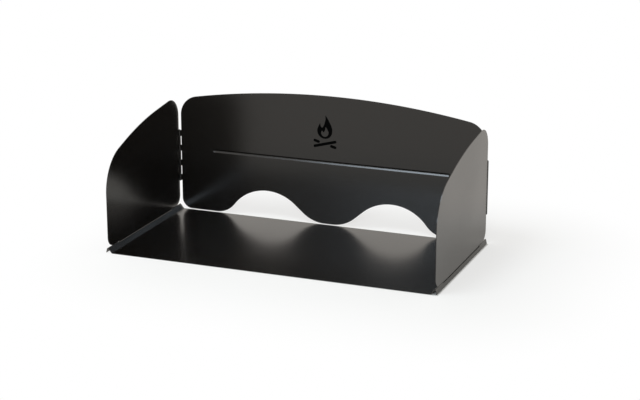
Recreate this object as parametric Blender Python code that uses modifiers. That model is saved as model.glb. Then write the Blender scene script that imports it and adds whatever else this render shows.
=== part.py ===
"""Camp kitchen windscreen in black sheet steel.

A base plate with a folded, slotted rail along each side carries a three-part screen: a back panel
with an arched top, a pressed bead and two arched cut-outs, and two wings hinged to it on knuckles
rolled from the sheets' own edges.

Metres. X is the width, Y the depth with the back panel at +Y, Z is up. The origin lies on the
ground under the middle of the base plate.
"""

import math

import bmesh
import bpy
from mathutils import Matrix, Vector

# Sheet and clearance
SHEET = 0.0010
FIT = 0.0003

# Fineness of round forms
ARC_SAGITTA = 0.00005
ARC_STEP = math.radians(15)
PIN_SIDES = 16
PIN_DOME_STEPS = 3
BEAD_SIDES = 24
BEAD_RINGS = 11
MERGE = 0.000001

# Base plate and its rails
PLATE_DEPTH = 0.291
RAIL_SPAN = 0.600
RAIL_HEIGHT = 0.0095
RAIL_LEG_ANGLE = math.radians(49)
LIP_FLARE = math.radians(14)
LIP_CLEARANCE = 0.0012
FOLD_RADIUS = 0.0007
SLOT_MARGIN = 0.0275
SLOT_DROP = 0.0017

# Hinges: a wire pin in knuckles rolled from the sheets, which lean over to them in a short neck
PIN_RADIUS = 0.0009
PIN_HEAD_OVERHANG = 0.0004
PIN_HEAD_HEIGHT = 0.0010
KNUCKLE_SLIT = 0.0004
PANEL_KNUCKLE = 0.0119
WING_KNUCKLE = 0.0167
WING_KNUCKLES = 3
HINGE_DROP = 0.0118
WING_OFFSET = 0.0006
WING_LEAN = math.radians(40)
PANEL_OFFSET = 0.0011
PANEL_LEAN = math.radians(30)

# Wings
WING_SETBACK = 0.0015
WING_TIP_HEIGHT = 0.2258
WING_TIP_RADIUS = 0.036
WING_BROW_REACH = 0.136
WING_BROW_DROP = 0.0172
WING_BROW_RADIUS = 0.650
WING_SHOULDER_DROP = 0.0608
WING_SHOULDER_RADIUS = 0.075
WING_FOOT_RADIUS = 0.018
TAB_PLAY = 0.014
TAB_CORNER = 0.0010

# Back panel
PANEL_SETBACK = 0.0011
PANEL_BOTTOM = 0.0024
CROWN_RISE = 0.0172
CROWN_RADIUS = 1.510
PANEL_TOP_CORNER = 0.038
PANEL_FOOT_RADIUS = 0.020

# Arched cut-outs in the back panel's bottom edge, each between two slanted flanks
ARCH_INNER_FOOT = 0.0318
ARCH_INNER_RADIUS = 0.065
ARCH_PEAK_X = 0.132
ARCH_PEAK_HEIGHT = 0.0849
ARCH_RADIUS = 0.084
ARCH_OUTER_FOOT = 0.2036
ARCH_OUTER_RADIUS = 0.045

# Bead pressed into the back panel
BEAD_HEIGHT = 0.1188
BEAD_MARGIN = 0.0651
BEAD_RADIUS = 0.0032
BEAD_DEPTH = 0.0024

# Worked out from the values above
FOLD_MID = FOLD_RADIUS + SHEET / 2
WING_PLANE = RAIL_SPAN / 2
WING_REAR = PLATE_DEPTH / 2
WING_FRONT = WING_SETBACK - PLATE_DEPTH / 2
WING_BOTTOM = RAIL_HEIGHT + FIT
SLOT_END = PLATE_DEPTH / 2 - SLOT_MARGIN
SLOT_EDGE = RAIL_HEIGHT - SLOT_DROP
TAB_END = SLOT_END - TAB_PLAY
TAB_BOTTOM = SLOT_EDGE + FIT
BORE_RADIUS = PIN_RADIUS + FIT
KNUCKLE_MID = BORE_RADIUS + SHEET / 2
KNUCKLE_OUTER = BORE_RADIUS + SHEET
CURL = 2 * math.pi - math.acos((BORE_RADIUS - KNUCKLE_SLIT) / KNUCKLE_OUTER)
HINGE_X = WING_PLANE - WING_OFFSET
HINGE_Y = WING_REAR + KNUCKLE_OUTER + FIT
HINGE_LENGTH = (WING_KNUCKLES + 1) * PANEL_KNUCKLE + WING_KNUCKLES * WING_KNUCKLE
HINGE_BOTTOM = (WING_BOTTOM + WING_TIP_HEIGHT - HINGE_LENGTH) / 2 - HINGE_DROP
HINGE_TOP = HINGE_BOTTOM + HINGE_LENGTH
LUG_REACH = KNUCKLE_OUTER + SHEET
PANEL_PLANE = HINGE_Y + PANEL_OFFSET
PANEL_FACE = PANEL_PLANE - SHEET / 2
PANEL_EDGE = HINGE_X - KNUCKLE_OUTER - PANEL_SETBACK
PANEL_TOP = WING_TIP_HEIGHT + CROWN_RISE
CUTTER_MARGIN = 0.010

# Maps from a flat drawing's (u, v, depth) to the model's axes
XY_PLANE = Matrix.Identity(4)
XZ_PLANE = Matrix(((1, 0, 0, 0), (0, 0, 1, 0), (0, 1, 0, 0), (0, 0, 0, 1)))
YZ_PLANE = Matrix(((0, 0, 1, 0), (1, 0, 0, 0), (0, 1, 0, 0), (0, 0, 0, 1)))


def clear_scene():
    """Removes every object, so that the model starts from nothing."""
    for item in list(bpy.data.objects):
        bpy.data.objects.remove(item)


def new_collection(name):
    """Makes a collection in the scene."""
    collection = bpy.data.collections.new(name)
    bpy.context.scene.collection.children.link(collection)
    return collection


def coated_steel(name, colour, roughness):
    """Makes a satin powder coat over steel."""
    material = bpy.data.materials.new(name)
    material.use_nodes = True
    shader = material.node_tree.nodes["Principled BSDF"]
    shader.inputs["Base Color"].default_value = (*colour, 1.0)
    shader.inputs["Roughness"].default_value = roughness
    shader.inputs["Metallic"].default_value = 0.0
    return material


def arc(centre, radius, start, end):
    """Points along an arc, from the start angle to the end angle."""
    step = min(ARC_STEP, 2 * math.acos(max(0.0, 1 - ARC_SAGITTA / radius)))
    count = max(2, math.ceil(abs(end - start) / step))
    angles = [start + (end - start) * i / count for i in range(count + 1)]
    return [(centre[0] + radius * math.cos(a), centre[1] + radius * math.sin(a)) for a in angles]


def half_angle(before, point, after):
    """Half the angle between the two straight runs that meet at a point."""
    back = Vector(before) - Vector(point)
    ahead = Vector(after) - Vector(point)
    return back.angle(ahead) / 2


def corner(before, point, after, radius):
    """Points of the arc that rounds a corner between two straight runs."""
    here = Vector(point)
    back = (Vector(before) - here).normalized()
    ahead = (Vector(after) - here).normalized()
    half = half_angle(before, point, after)
    middle = here + (back + ahead).normalized() * radius / math.sin(half)
    start = here + back * radius / math.tan(half) - middle
    end = here + ahead * radius / math.tan(half) - middle
    first = math.atan2(start.y, start.x)
    turn = math.atan2(start.cross(end), start.dot(end))
    return arc(middle, radius, first, first + turn)


def rounded(points, radii):
    """Straight lines with an arc at each inner point, no longer than the lines beside it allow."""
    halves = [half_angle(*points[i : i + 3]) for i in range(len(radii))]
    reach = [0.0] + [r / math.tan(h) for r, h in zip(radii, halves)] + [0.0]
    sides = [math.dist(a, b) for a, b in zip(points, points[1:])]
    room = [min(1.0, s / max(a + b, FIT)) for s, a, b in zip(sides, reach, reach[1:])]
    path = [points[0]]
    for i, radius in enumerate(radii, start=1):
        limited = radius * min(room[i - 1], room[i])
        path += corner(points[i - 1], points[i], points[i + 1], limited)
    path.append(points[-1])
    return path


def drawing_to_mesh(name, points, closed, depth, plane, shift):
    """Draws a flat curve, gives it depth, and returns it as a mesh in the model's axes."""
    curve = bpy.data.curves.new(name, "CURVE")
    curve.dimensions = "2D"
    curve.fill_mode = "BOTH" if closed else "NONE"
    curve.extrude = depth / 2
    spline = curve.splines.new("POLY")
    spline.points.add(len(points) - 1)
    for target, (u, v) in zip(spline.points, points):
        target.co = (u, v, 0.0, 1.0)
    spline.use_cyclic_u = closed
    drawn = bpy.data.objects.new(name, curve)
    bpy.context.scene.collection.objects.link(drawn)
    graph = bpy.context.evaluated_depsgraph_get()
    mesh = bpy.data.meshes.new_from_object(drawn.evaluated_get(graph))
    bpy.data.objects.remove(drawn)
    bpy.data.curves.remove(curve)
    mesh.transform(Matrix.Translation(shift) @ plane)
    tidy = bmesh.new()
    tidy.from_mesh(mesh)
    bmesh.ops.remove_doubles(tidy, verts=tidy.verts, dist=MERGE)
    if closed:
        bmesh.ops.recalc_face_normals(tidy, faces=tidy.faces)
    tidy.to_mesh(mesh)
    tidy.free()
    mesh.name = name
    return mesh


def place(name, mesh, collection, origin=(0, 0, 0), material=None):
    """Adds a mesh to a collection as an object whose origin is the given point."""
    mesh.transform(Matrix.Translation(-Vector(origin)))
    item = bpy.data.objects.new(name, mesh)
    item.location = origin
    collection.objects.link(item)
    if material:
        mesh.materials.clear()
        mesh.materials.append(material)
    return item


def hide_cutter(item):
    """Shows a cutter as wires and keeps it out of renders."""
    item.hide_render = True
    item.display_type = "WIRE"
    return item


def solidify(item):
    """Gives an open sheet its thickness, half to each side."""
    modifier = item.modifiers.new("Sheet", "SOLIDIFY")
    modifier.thickness = SHEET
    modifier.offset = 0.0
    modifier.use_even_offset = True


def mirror(item):
    """Completes a half that is open at the middle plane."""
    modifier = item.modifiers.new("Mirror", "MIRROR")
    modifier.use_axis = (True, False, False)
    modifier.merge_threshold = MERGE


def combine(item, other, operation):
    """Adds a Boolean with another object."""
    modifier = item.modifiers.new(other.name, "BOOLEAN")
    modifier.operation = operation
    modifier.solver = "EXACT"
    modifier.object = other


def box(name, low, high, collection):
    """A box between two corners, for cutting."""
    low, high = Vector(low), Vector(high)
    mesh = bpy.data.meshes.new(name)
    shape = bmesh.new()
    bmesh.ops.create_cube(shape, size=1.0)
    bmesh.ops.scale(shape, vec=high - low, verts=shape.verts)
    bmesh.ops.translate(shape, vec=(low + high) / 2, verts=shape.verts)
    shape.to_mesh(mesh)
    shape.free()
    return hide_cutter(place(name, mesh, collection))


def rail_path():
    """Middle line of the base plate's right half, from the centre plane out to the lip's end."""
    level = SHEET / 2
    crest = (WING_PLANE, RAIL_HEIGHT - SHEET / 2 - FOLD_MID)
    ridge = arc(crest, FOLD_MID, math.pi / 2 + RAIL_LEG_ANGLE, LIP_FLARE)
    leg_top = ridge[0]
    foot = (leg_top[0] - (leg_top[1] - level) / math.tan(RAIL_LEG_ANGLE), level)
    fold = corner((0, level), foot, leg_top, FOLD_MID)
    lip_drop = ridge[-1][1] - LIP_CLEARANCE
    lip_end = (ridge[-1][0] + lip_drop * math.tan(LIP_FLARE), LIP_CLEARANCE)
    return [(0, level), *fold, *ridge, lip_end]


def make_base_plate(parts, cutters, material):
    """Flat plate with a folded rail along each side, slotted along its ridge."""
    mesh = drawing_to_mesh("base_plate", rail_path(), False, PLATE_DEPTH, XZ_PLANE, (0, 0, 0))
    plate = place("base_plate", mesh, parts, material=material)
    mirror(plate)
    solidify(plate)
    for side, label in ((-1, "left"), (1, "right")):
        middle = side * WING_PLANE
        low = (middle - CUTTER_MARGIN, -SLOT_END, SLOT_EDGE)
        high = (middle + CUTTER_MARGIN, SLOT_END, RAIL_HEIGHT + CUTTER_MARGIN)
        combine(plate, box(f"{label}_slot", low, high, cutters), "DIFFERENCE")
    return plate


def knuckle_bands():
    """Heights of the hinge's knuckles, bottom to top, as (owner, low, high) without clearance."""
    bands = []
    low = HINGE_BOTTOM
    for i in range(2 * WING_KNUCKLES + 1):
        owner = "wing" if i % 2 else "panel"
        high = low + (WING_KNUCKLE if owner == "wing" else PANEL_KNUCKLE)
        bands.append((owner, low, high))
        low = high
    return bands


def rolled_sheet(start, offset, lean):
    """Middle line of a flat sheet, its neck and its curl, as (across, along) from the hinge axis."""
    curl = arc((0, 0), KNUCKLE_MID, -lean, CURL - lean)
    across, along = curl[0]
    neck = (offset, along - (across - offset) / math.tan(lean))
    return rounded([(offset, start), neck, curl[0]], [FOLD_MID]) + curl[1:]


def lugs(owner, edge, reach):
    """Outline points, going up, that run a straight edge out round that owner's knuckles."""
    points = []
    for name, low, high in knuckle_bands():
        if name == owner:
            bottom = low + FIT / 2
            top = high - FIT / 2
            points += [(edge, bottom), (reach, bottom), (reach, top), (edge, top)]
    return points


def panel_outline():
    """Outline of the back panel in X and Z, anticlockwise from the bottom centre."""
    foot = rounded(
        [
            (0, PANEL_BOTTOM),
            (ARCH_INNER_FOOT, PANEL_BOTTOM),
            (ARCH_PEAK_X, PANEL_BOTTOM + ARCH_PEAK_HEIGHT),
            (ARCH_OUTER_FOOT, PANEL_BOTTOM),
            (PANEL_EDGE, PANEL_BOTTOM),
            (PANEL_EDGE, HINGE_BOTTOM),
        ],
        [ARCH_INNER_RADIUS, ARCH_RADIUS, ARCH_OUTER_RADIUS, PANEL_FOOT_RADIUS],
    )[:-1]
    crown = (0, PANEL_TOP - CROWN_RADIUS)
    reach = CROWN_RADIUS - PANEL_TOP_CORNER
    tilt = math.acos((PANEL_EDGE - PANEL_TOP_CORNER) / reach)
    top_corner = (PANEL_EDGE - PANEL_TOP_CORNER, crown[1] + reach * math.sin(tilt))
    top = arc(top_corner, PANEL_TOP_CORNER, 0, tilt)
    arch = arc(crown, CROWN_RADIUS, tilt, math.pi / 2)[1:]
    right = foot + lugs("panel", PANEL_EDGE, HINGE_X + LUG_REACH) + top + arch
    left = [(-x, z) for x, z in reversed(right[1:-1])]
    return right + left


def panel_path():
    """Middle line of the back panel's right half seen from above, with its rolled edge."""
    sheet = rolled_sheet(-HINGE_X, PANEL_OFFSET, PANEL_LEAN)
    return [(HINGE_X + along, HINGE_Y + across) for across, along in sheet]


def capsule(name, radius, length, centre):
    """A round-ended bar along X: a sphere drawn out along its axis."""
    mesh = bpy.data.meshes.new(name)
    shape = bmesh.new()
    bmesh.ops.create_uvsphere(
        shape, u_segments=BEAD_SIDES, v_segments=BEAD_RINGS, radius=radius
    )
    for vertex in shape.verts:
        stretch = math.copysign(length / 2 - radius, vertex.co.z)
        vertex.co = (vertex.co.z + stretch, vertex.co.y, -vertex.co.x)
    bmesh.ops.translate(shape, vec=centre, verts=shape.verts)
    bmesh.ops.recalc_face_normals(shape, faces=shape.faces)
    shape.to_mesh(mesh)
    shape.free()
    return mesh


def keep_behind(mesh, y):
    """Cuts away what lies in front of a plane and closes the cut."""
    shape = bmesh.new()
    shape.from_mesh(mesh)
    everything = [*shape.verts, *shape.edges, *shape.faces]
    cut = bmesh.ops.bisect_plane(
        shape, geom=everything, plane_co=(0, y, 0), plane_no=(0, -1, 0), clear_outer=True
    )
    rim = [item for item in cut["geom_cut"] if isinstance(item, bmesh.types.BMEdge)]
    bmesh.ops.edgeloop_fill(shape, edges=rim)
    bmesh.ops.recalc_face_normals(shape, faces=shape.faces)
    shape.to_mesh(mesh)
    shape.free()


def make_back_panel(parts, cutters, material):
    """Sheet with rolled side edges, trimmed to its outline, with a bead pressed to the rear."""
    height = PANEL_TOP + CUTTER_MARGIN
    shift = (0, 0, height / 2)
    mesh = drawing_to_mesh("back_panel", panel_path(), False, height, XY_PLANE, shift)
    panel = place("back_panel", mesh, parts, origin=(0, PANEL_PLANE, 0), material=material)
    mirror(panel)
    solidify(panel)

    trim_depth = 2 * (LUG_REACH + CUTTER_MARGIN)
    trim = drawing_to_mesh(
        "panel_trim", panel_outline(), True, trim_depth, XZ_PLANE, (0, PANEL_PLANE, 0)
    )
    combine(panel, hide_cutter(place("panel_trim", trim, cutters)), "INTERSECT")

    axis = (0, PANEL_FACE + BEAD_DEPTH - BEAD_RADIUS, BEAD_HEIGHT)
    length = 2 * (PANEL_EDGE - BEAD_MARGIN)
    ridge = capsule("bead_ridge", BEAD_RADIUS + SHEET, length + 2 * SHEET, axis)
    keep_behind(ridge, PANEL_PLANE)
    combine(panel, hide_cutter(place("bead_ridge", ridge, cutters)), "UNION")
    groove = capsule("bead_groove", BEAD_RADIUS, length, axis)
    combine(panel, hide_cutter(place("bead_groove", groove, cutters)), "DIFFERENCE")
    return panel


def wing_outline():
    """Outline of a wing in Y and Z, anticlockwise from the tab's rear end."""
    rear_foot = rounded(
        [(TAB_END, WING_BOTTOM), (WING_REAR, WING_BOTTOM), (WING_REAR, HINGE_BOTTOM)],
        [WING_FOOT_RADIUS],
    )[:-1]
    upper = rounded(
        [
            (WING_REAR, HINGE_TOP),
            (WING_REAR, WING_TIP_HEIGHT),
            (WING_FRONT + WING_BROW_REACH, WING_TIP_HEIGHT - WING_BROW_DROP),
            (WING_FRONT, WING_TIP_HEIGHT - WING_SHOULDER_DROP),
            (WING_FRONT, WING_BOTTOM),
            (-TAB_END, WING_BOTTOM),
        ],
        [WING_TIP_RADIUS, WING_BROW_RADIUS, WING_SHOULDER_RADIUS, WING_FOOT_RADIUS],
    )[1:]
    tab = rounded(
        [
            (-TAB_END, WING_BOTTOM),
            (-TAB_END, TAB_BOTTOM),
            (TAB_END, TAB_BOTTOM),
            (TAB_END, WING_BOTTOM),
        ],
        [TAB_CORNER, TAB_CORNER],
    )[1:-1]
    return rear_foot + lugs("wing", WING_REAR, HINGE_Y + LUG_REACH) + upper + tab


def wing_path(side):
    """Middle line of a wing seen from above, from beyond its front edge to the rolled rear edge."""
    sheet = rolled_sheet(WING_FRONT - CUTTER_MARGIN - HINGE_Y, WING_OFFSET, WING_LEAN)
    return [(side * (HINGE_X + across), HINGE_Y + along) for across, along in sheet]


def make_wing(label, side, parts, cutters, material):
    """Leaf-shaped side wing, trimmed to its outline, with its origin on the hinge axis."""
    height = WING_TIP_HEIGHT + CUTTER_MARGIN
    shift = (0, 0, height / 2)
    name = f"{label}_wing"
    mesh = drawing_to_mesh(name, wing_path(side), False, height, XY_PLANE, shift)
    wing = place(name, mesh, parts, origin=(side * HINGE_X, HINGE_Y, 0), material=material)
    solidify(wing)
    trim_depth = 2 * (LUG_REACH + CUTTER_MARGIN)
    trim = drawing_to_mesh(
        f"{label}_wing_trim", wing_outline(), True, trim_depth, YZ_PLANE, (side * WING_PLANE, 0, 0)
    )
    combine(wing, hide_cutter(place(f"{label}_wing_trim", trim, cutters)), "INTERSECT")
    return wing


def pin_profile():
    """Half section of a hinge pin, top to bottom, with a low domed head at each end."""
    top = HINGE_TOP + FIT / 2
    bottom = HINGE_BOTTOM - FIT / 2
    head_radius = BORE_RADIUS + PIN_HEAD_OVERHANG
    turns = [math.pi / 2 * i / PIN_DOME_STEPS for i in range(PIN_DOME_STEPS + 1)]
    dome = [(head_radius * math.sin(a), PIN_HEAD_HEIGHT * math.cos(a)) for a in turns]
    upper = [(r, top + h) for r, h in dome] + [(PIN_RADIUS, top)]
    lower = [(PIN_RADIUS, bottom)] + [(r, bottom - h) for r, h in reversed(dome)]
    return upper + lower


def make_hinge_pin(label, side, parts, material):
    """Wire pin through the knuckles, turned about the hinge axis."""
    profile = pin_profile()
    mesh = bpy.data.meshes.new(f"{label}_hinge_pin")
    points = [(r, 0, z) for r, z in profile]
    mesh.from_pydata(points, [(i, i + 1) for i in range(len(points) - 1)], [])
    pin = place(f"{label}_hinge_pin", mesh, parts, material=material)
    pin.location = (side * HINGE_X, HINGE_Y, 0)
    turned = pin.modifiers.new("Turn", "SCREW")
    turned.steps = PIN_SIDES
    turned.render_steps = PIN_SIDES
    turned.use_merge_vertices = True
    turned.merge_threshold = MERGE
    turned.use_smooth_shade = True
    return pin


def keep_place(child, parent):
    """Parents an object and leaves it where it stands."""
    child.parent = parent
    child.matrix_parent_inverse = Matrix.Translation(-Vector(parent.location))


def main():
    """Builds the windscreen."""
    clear_scene()
    parts = new_collection("camp_windscreen")
    cutters = new_collection("cutters")
    coat = coated_steel("black_coat", (0.016, 0.016, 0.017), 0.42)
    wire = coated_steel("pin_coat", (0.022, 0.022, 0.023), 0.38)

    plate = make_base_plate(parts, cutters, coat)
    panel = make_back_panel(parts, cutters, coat)
    keep_place(panel, plate)
    for side, label in ((-1, "left"), (1, "right")):
        wing = make_wing(label, side, parts, cutters, coat)
        pin = make_hinge_pin(label, side, parts, wire)
        keep_place(wing, panel)
        keep_place(pin, panel)


main()
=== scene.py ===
"""Camp kitchen windscreen: the finished look of the folding sheet-steel screen, and its stage.

Each sheet is rolled or folded from its section, trimmed to its outline and given soft edges.
Metres. X is the width, Y the depth with the back panel at +Y, Z is up.
"""

import math

import bmesh
import bpy
from mathutils import Matrix, Vector


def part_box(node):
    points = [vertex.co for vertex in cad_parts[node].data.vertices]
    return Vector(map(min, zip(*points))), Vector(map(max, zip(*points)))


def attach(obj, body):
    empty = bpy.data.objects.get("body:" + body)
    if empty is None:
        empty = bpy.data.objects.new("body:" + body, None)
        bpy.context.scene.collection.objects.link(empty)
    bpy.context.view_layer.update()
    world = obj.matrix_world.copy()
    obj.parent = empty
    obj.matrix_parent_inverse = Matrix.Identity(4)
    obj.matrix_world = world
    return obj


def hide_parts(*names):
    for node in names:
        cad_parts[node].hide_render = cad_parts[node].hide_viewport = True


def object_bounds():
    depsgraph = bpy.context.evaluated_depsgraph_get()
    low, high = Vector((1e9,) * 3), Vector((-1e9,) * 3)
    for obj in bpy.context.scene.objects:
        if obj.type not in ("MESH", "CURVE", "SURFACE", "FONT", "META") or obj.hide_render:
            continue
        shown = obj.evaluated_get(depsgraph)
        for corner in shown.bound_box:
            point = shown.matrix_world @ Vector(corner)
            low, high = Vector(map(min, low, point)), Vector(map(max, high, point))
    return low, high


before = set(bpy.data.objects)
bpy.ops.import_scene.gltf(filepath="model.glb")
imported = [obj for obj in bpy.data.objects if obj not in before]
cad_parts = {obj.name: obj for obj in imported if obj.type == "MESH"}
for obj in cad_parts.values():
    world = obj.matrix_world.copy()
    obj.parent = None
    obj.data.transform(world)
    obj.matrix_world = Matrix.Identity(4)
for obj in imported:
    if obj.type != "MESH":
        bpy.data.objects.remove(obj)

bl_info = {
    "name": "Camp kitchen windscreen",
    "version": (1, 0, 0),
    "blender": (4, 5, 0),
    "location": "View3D > Sidebar > Windscreen",
    "description": "Builds a folding sheet-steel windscreen for a camping stove",
    "category": "Add Mesh",
}

# The frame's own measures
CAD_LOW, CAD_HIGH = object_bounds()
PLATE_LOW, PLATE_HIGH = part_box("base_plate")
WING_LOW, WING_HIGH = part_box("right_wing")
PANEL_LOW, PANEL_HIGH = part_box("back_panel")

# Sheet, clearances and the fineness of arcs
SHEET = 0.0010
FIT = 0.0003
ARC_SAGITTA = 0.00001
ARC_STEP = math.radians(7.5)
LEAST_ARC_STEP = math.radians(0.75)
WELD = 0.000001
CUTTER_MARGIN = 0.010

# Soft edges. Each marked edge takes this share of the bevel's width
EDGE_RADIUS = 0.00018
BEVEL_SHARE = 0.2
BEVEL_STEPS = 3
LEAST_EDGE_ANGLE = math.radians(30)

# Faces of a cut edge are narrower, and smaller than a square of this side, both in sheets
RIM_WIDTH = 0.45
RIM_SIDE = 2.2

# Base plate and its rails
RAIL_SPAN = 0.600
RAIL_HEIGHT = 0.0095
RAIL_LEG_ANGLE = math.radians(49)
LIP_FLARE = math.radians(14)
LIP_CLEARANCE = 0.0012
FOLD_RADIUS = 0.0007
SLOT_MARGIN = 0.0275
SLOT_DROP = 0.0017
SLOT_PLAY = 0.0005

# Hinges
PIN_RADIUS = 0.0009
PIN_HEAD_OVERHANG = 0.0004
PIN_HEAD_HEIGHT = 0.0010
PIN_SIDES = 32
PIN_DOME_STEPS = 8
KNUCKLE_SLIT = 0.0004
PANEL_KNUCKLE = 0.0119
WING_KNUCKLE = 0.0167
WING_KNUCKLES = 3
HINGE_DROP = 0.0118
WING_OFFSET = 0.0006
WING_LEAN = math.radians(40)
PANEL_OFFSET = 0.0011
PANEL_LEAN = math.radians(30)

# Wings
WING_TIP_RADIUS = 0.036
WING_BROW_REACH = 0.136
WING_BROW_DROP = 0.0172
WING_BROW_RADIUS = 0.650
WING_SHOULDER_DROP = 0.0608
WING_SHOULDER_RADIUS = 0.075
WING_FOOT_RADIUS = 0.018
TAB_PLAY = 0.014
TAB_CORNER = 0.0010

# Back panel and its arched cut-outs. Its foot is a little lower than the solid's
PANEL_SETBACK = 0.0011
CROWN_RADIUS = 1.510
PANEL_TOP_CORNER = 0.038
PANEL_FOOT_RADIUS = 0.020
FOOT_DROP = 0.0008
ARCH_INNER_FOOT = 0.0318
ARCH_INNER_RADIUS = 0.065
ARCH_PEAK_X = 0.132
ARCH_PEAK_HEIGHT = 0.0849
ARCH_RADIUS = 0.084
ARCH_OUTER_FOOT = 0.2036
ARCH_OUTER_RADIUS = 0.045

# Bead, and the cone that it is drawn from, whose ends are in half widths of the bead
BEAD_HEIGHT = 0.1188
BEAD_MARGIN = 0.0651
BEAD_HALF_WIDTH = 0.0031
BEAD_DEPTH = 0.0024
BEAD_ROUNDNESS = 0.15
BEAD_SIDES = 48
BEAD_RINGS = 14
CONE_TIP = 0.01
CONE_BASE = 1.3

# Ridge behind the bead: its spread beyond the groove, in sheets, and the block that trims it
RIDGE_SPREAD = 1.5
BLOCK_WIDTH = 1.5
BLOCK_SIDE = 4.0

# Worked out from the values above
FOLD_MID = FOLD_RADIUS + SHEET / 2
PLATE_DEPTH = PLATE_HIGH.y - PLATE_LOW.y
WING_PLANE = RAIL_SPAN / 2
WING_REAR = PLATE_DEPTH / 2
WING_FRONT = WING_LOW.y
WING_TIP_HEIGHT = WING_HIGH.z
WING_BOTTOM = RAIL_HEIGHT + FIT
SLOT_END = WING_REAR - SLOT_MARGIN
SLOT_EDGE = RAIL_HEIGHT - SLOT_DROP
TAB_END = SLOT_END - TAB_PLAY
TAB_BOTTOM = WING_LOW.z
BORE_RADIUS = PIN_RADIUS + FIT
KNUCKLE_MID = BORE_RADIUS + SHEET / 2
KNUCKLE_OUTER = BORE_RADIUS + SHEET
CURL = 2 * math.pi - math.acos((BORE_RADIUS - KNUCKLE_SLIT) / KNUCKLE_OUTER)
HINGE_X = WING_PLANE - WING_OFFSET
HINGE_Y = WING_REAR + KNUCKLE_OUTER + FIT
HINGE_LENGTH = (WING_KNUCKLES + 1) * PANEL_KNUCKLE + WING_KNUCKLES * WING_KNUCKLE
HINGE_BOTTOM = (WING_BOTTOM + WING_TIP_HEIGHT - HINGE_LENGTH) / 2 - HINGE_DROP
HINGE_TOP = HINGE_BOTTOM + HINGE_LENGTH
LUG_REACH = KNUCKLE_OUTER + SHEET
PANEL_PLANE = HINGE_Y + PANEL_OFFSET
PANEL_FACE = PANEL_PLANE - SHEET / 2
PANEL_EDGE = HINGE_X - KNUCKLE_OUTER - PANEL_SETBACK
PANEL_BOTTOM = PANEL_LOW.z - FOOT_DROP
PANEL_TOP = PANEL_HIGH.z

# Printed campfire on the panel: outlines in millimetres about its middle
PRINT_X = -0.0070
PRINT_Z = 0.1735
PRINT_SCALE = 0.001
PRINT_THICKNESS = 0.00004
CURVE_STEPS = 8
FLAME = [
    (1, 33), (5.2, 27.5), (9.2, 20.5), (12.8, 13), (14.2, 5), (12.6, -2.5), (7.6, -8.2), (0, -10.4),
    (-7.8, -8.4), (-13.4, -2.4), (-15, 5), (-12.8, 11.8), (-9.6, 17.6), (-8.2, 12.6), (-5.2, 10.2),
    (-2.2, 14.6), (-0.2, 20.6), (1.1, 26.8),
]
FLAME_HEART = [
    (1.4, 11.6), (4.4, 7.4), (6.9, 2.2), (6, -2.8), (2.6, -6), (-2, -6.6), (-6, -4), (-7.4, 0.6),
    (-5.6, 4.6), (-3.2, 1.4), (-0.8, 3.6), (0.6, 7.4),
]
LOG_LENGTH = 46.0
LOG_THICKNESS = 5.2
LOG_TILT = math.radians(15)
LOG_DROP = -20.0
LOG_GAP = 1.3

# Finishes. Wear and smears set in between the two levels of their noise
WEAR_LEVELS = (0.42, 0.66)
SMEAR_LEVELS = (0.55, 0.8)
FLECK_REACH = 0.09
FLECK_FINENESS = 30.0
COAT_SHADES = (0.82, 1.18)
COAT_IOR = 1.52
DUST_COLOUR = (0.3, 0.29, 0.27, 1.0)
DUST_COVER = 0.05
SMEAR_DULLNESS = 0.05
INK_TONES = (0.0004, 0.0008)
INK_SHINE = 0.03

# Floor and light. The floor's white begins within a strip of this width round the part that
# keeps its shadow. That part ends at the object's right end, and is centred this far right
FLOOR_SIZE = 12.0
FLOOR_RIM = 0.004
FLOOR_SHIFT = 0.09
WHITE = (1.0, 1.0, 1.0, 1.0)
GLOSS_WHITE = (1.0, 0.955, 0.895, 1.0)
AMBIENT_COLOUR = (1.0, 0.99, 0.975, 1.0)
LAMP_COLOUR = (0.76, 0.88, 1.0)

# Camera, measured from the photograph's frame of 640 x 400
FRAME_WIDTH = 640
SENSOR = 36.0
FOCAL_PIXELS = 1763.1
CAMERA_AZIMUTH = -0.37383
CAMERA_ELEVATION = 0.29041
CAMERA_DISTANCE = 3.0829
CAMERA_ACROSS = 0.03874
CAMERA_UP = -0.01022
CAMERA_AIM = (0.0, 0.0, 0.1)


# Drawing

def arc(centre, radius, start, end):
    """Points along an arc, from the start angle to the end angle."""
    step = min(ARC_STEP, 2 * math.acos(max(0.0, 1 - ARC_SAGITTA / radius)))
    count = max(2, math.ceil(abs(end - start) / max(step, LEAST_ARC_STEP)))
    angles = [start + (end - start) * i / count for i in range(count + 1)]
    return [(centre[0] + radius * math.cos(a), centre[1] + radius * math.sin(a)) for a in angles]


def half_angle(before, point, after):
    """Half the angle between the two straight runs that meet at a point."""
    here = Vector(point)
    return (Vector(before) - here).angle(Vector(after) - here) / 2


def corner(before, point, after, radius):
    """Points of the arc that rounds a corner between two straight runs."""
    here = Vector(point)
    back = (Vector(before) - here).normalized()
    ahead = (Vector(after) - here).normalized()
    half = half_angle(before, point, after)
    middle = here + (back + ahead).normalized() * radius / math.sin(half)
    start = here + back * radius / math.tan(half) - middle
    end = here + ahead * radius / math.tan(half) - middle
    first = math.atan2(start.y, start.x)
    turn = math.atan2(start.cross(end), start.dot(end))
    return arc(middle, radius, first, first + turn)


def rounded(points, radii):
    """Straight lines with an arc at each inner point, no longer than the lines beside it allow."""
    halves = [half_angle(*points[i : i + 3]) for i in range(len(radii))]
    reach = [0.0] + [r / math.tan(h) for r, h in zip(radii, halves)] + [0.0]
    sides = [math.dist(a, b) for a, b in zip(points, points[1:])]
    room = [min(1.0, s / max(a + b, FIT)) for s, a, b in zip(sides, reach, reach[1:])]
    path = [points[0]]
    for i, radius in enumerate(radii, start=1):
        limited = radius * min(room[i - 1], room[i])
        path += corner(points[i - 1], points[i], points[i + 1], limited)
    return path + [points[-1]]


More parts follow.
